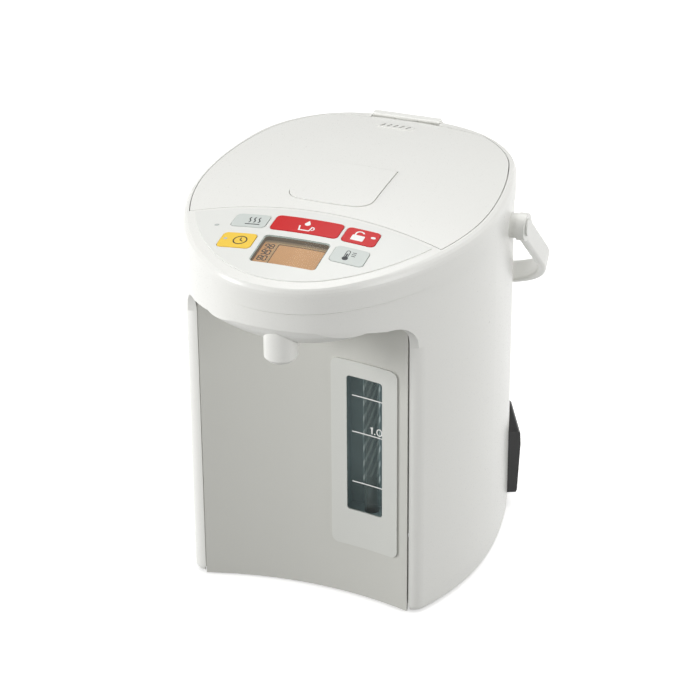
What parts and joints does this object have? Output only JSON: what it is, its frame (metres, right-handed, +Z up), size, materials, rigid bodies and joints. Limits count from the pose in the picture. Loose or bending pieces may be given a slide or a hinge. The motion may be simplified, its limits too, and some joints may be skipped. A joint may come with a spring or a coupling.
{
  "type": "electric thermo pot",
  "caption": "White electric thermo pot that boils and keeps water, with a domed latching lid, bail handle, control deck with display and keys, pump, level gauge and arched dispensing nose.",
  "frame": {"origin": "on the table under the middle of the pot's overall box, handle included", "axes": "+Z up from the table, -Y towards the spout and the user, +X towards the level gauge"},
  "size_m": [0.2282, 0.2951, 0.2766],
  "materials": {
    "white_shell": "glossy white moulding",
    "panel_grey": "satin warm grey",
    "bezel_grey": "satin silver grey",
    "clear_window": "clear",
    "control_film": "glossy printed film",
    "key_red": "glossy red",
    "key_yellow": "glossy yellow",
    "key_grey": "glossy grey",
    "display_amber": "backlit liquid crystal",
    "board_green": "lacquered board",
    "board_brown": "lacquered board",
    "black_plastic": "satin black",
    "inner_plastic": "natural",
    "stainless": "brushed",
    "plated_steel": "plated",
    "brass": "plain",
    "rubber_grey": "matte",
    "silicone": "matte"
  },
  "bodies": {
    "pot": {"body_casing": "white_shell", "front_panel": "panel_grey", "gauge_bezel": "bezel_grey", "gauge_window": "clear_window", "gauge_housing": "black_plastic", "riser_tube": "clear_window", "nose_cover": "white_shell", "spout": "white_shell", "top_frame": "white_shell", "control_film": "control_film", "display_window": "display_amber", "display_module": "display_amber", "panel_board": "board_green", "key_switches": "black_plastic", "panel_screws": "plated_steel", "handle_bushes": "white_shell", "base_plate": "inner_plastic", "rubber_feet": "rubber_grey", "base_screws": "plated_steel", "power_receptacle": "black_plastic", "receptacle_pins": "brass", "inner_vessel": "stainless", "outer_jacket": "stainless", "mouth_packing": "silicone", "heater_ring": "plated_steel", "thermistor": "plated_steel", "heat_shield": "plated_steel", "vessel_stand": "inner_plastic", "pump_motor": "plated_steel", "motor_cushion": "rubber_grey", "pump_partition": "inner_plastic", "pump_housing": "inner_plastic", "inlet_sleeve": "silicone", "outlet_elbow": "silicone", "tip_valve": "inner_plastic", "spout_pipe": "silicone", "power_board": "board_brown", "board_parts": "black_plastic", "hinge_pin": "plated_steel"},
    "lid": {"lid_outer": "white_shell", "lid_under": "inner_plastic", "lid_cover": "stainless", "lid_gasket": "silicone", "lever_pins": "plated_steel", "latch_spring": "plated_steel", "steam_vent": "white_shell", "steam_box": "inner_plastic"},
    "lid_lever": {"lid_lever": "white_shell"},
    "lid_latch": {"lid_latch": "inner_plastic"},
    "detach_lever": {"detach_lever": "white_shell"},
    "bail_handle": {"bail_handle": "white_shell"},
    "dispense_key": {"dispense_key": "key_red"},
    "unlock_key": {"unlock_key": "key_red"},
    "boil_key": {"boil_key": "key_grey"},
    "timer_key": {"timer_key": "key_yellow"},
    "temperature_key": {"temperature_key": "key_grey"},
    "motor_rotor": {"motor_rotor": "black_plastic"},
    "impeller": {"impeller": "inner_plastic"},
    "tip_valve_ball": {"tip_valve_ball": "stainless"}
  },
  "joints": [
    {"name": "lid_hinge", "type": "hinge", "parent": "pot", "child": "lid", "pos_m": [0, 0.122, 0.2615], "axis": [-1, 0, 0], "range_deg": [0, 78]},
    {"name": "lever_hinge", "type": "hinge", "parent": "lid", "child": "lid_lever", "pos_m": [0, 0.0142, 0.2732], "axis": [-1, 0, 0], "range_deg": [0, 30], "stiffness_Nm_per_rad": 0.12, "springref_deg": -17.19},
    {"name": "latch_slide", "type": "slide", "parent": "lid", "child": "lid_latch", "axis": [0, 1, 0], "range_m": [0, 0.004], "deforming": ["latch_spring"]},
    {"name": "detach_slide", "type": "slide", "parent": "lid", "child": "detach_lever", "axis": [0, 1, 0], "range_m": [0, 0.002], "stiffness_N_per_m": 300, "springref_m": -0.002},
    {"name": "bail_pivot", "type": "hinge", "parent": "pot", "child": "bail_handle", "pos_m": [0, 0.042, 0.236], "axis": [1, 0, 0], "range_deg": [0, 150]},
    {"name": "dispense_key_press", "type": "slide", "parent": "pot", "child": "dispense_key", "axis": [0, 0, -1], "range_m": [0, 0.0008], "stiffness_N_per_m": 400, "springref_m": -0.002},
    {"name": "unlock_key_press", "type": "slide", "parent": "pot", "child": "unlock_key", "axis": [0, 0, -1], "range_m": [0, 0.0008], "stiffness_N_per_m": 400, "springref_m": -0.002},
    {"name": "boil_key_press", "type": "slide", "parent": "pot", "child": "boil_key", "axis": [0, 0, -1], "range_m": [0, 0.0008], "stiffness_N_per_m": 400, "springref_m": -0.002},
    {"name": "timer_key_press", "type": "slide", "parent": "pot", "child": "timer_key", "axis": [0, 0, -1], "range_m": [0, 0.0008], "stiffness_N_per_m": 400, "springref_m": -0.002},
    {"name": "temperature_key_press", "type": "slide", "parent": "pot", "child": "temperature_key", "axis": [0, 0, -1], "range_m": [0, 0.0008], "stiffness_N_per_m": 400, "springref_m": -0.002},
    {"name": "motor_spin", "type": "hinge", "parent": "pot", "child": "motor_rotor", "pos_m": [0.028, -0.031, 0.036], "axis": [0, 0, 1], "continuous": true},
    {"name": "impeller_spin", "type": "hinge", "parent": "pot", "child": "impeller", "pos_m": [0.028, -0.031, 0.046], "axis": [0, 0, 1], "continuous": true},
    {"name": "ball_lift", "type": "slide", "parent": "pot", "child": "tip_valve_ball", "axis": [0, 0, 1], "range_m": [0, 0.011]}
  ],
  "couplings": [
    {"joint": "latch_slide", "follows": "lever_hinge", "m_per_rad": 0.0076},
    {"joint": "impeller_spin", "follows": "motor_spin", "ratio": 1}
  ]
}
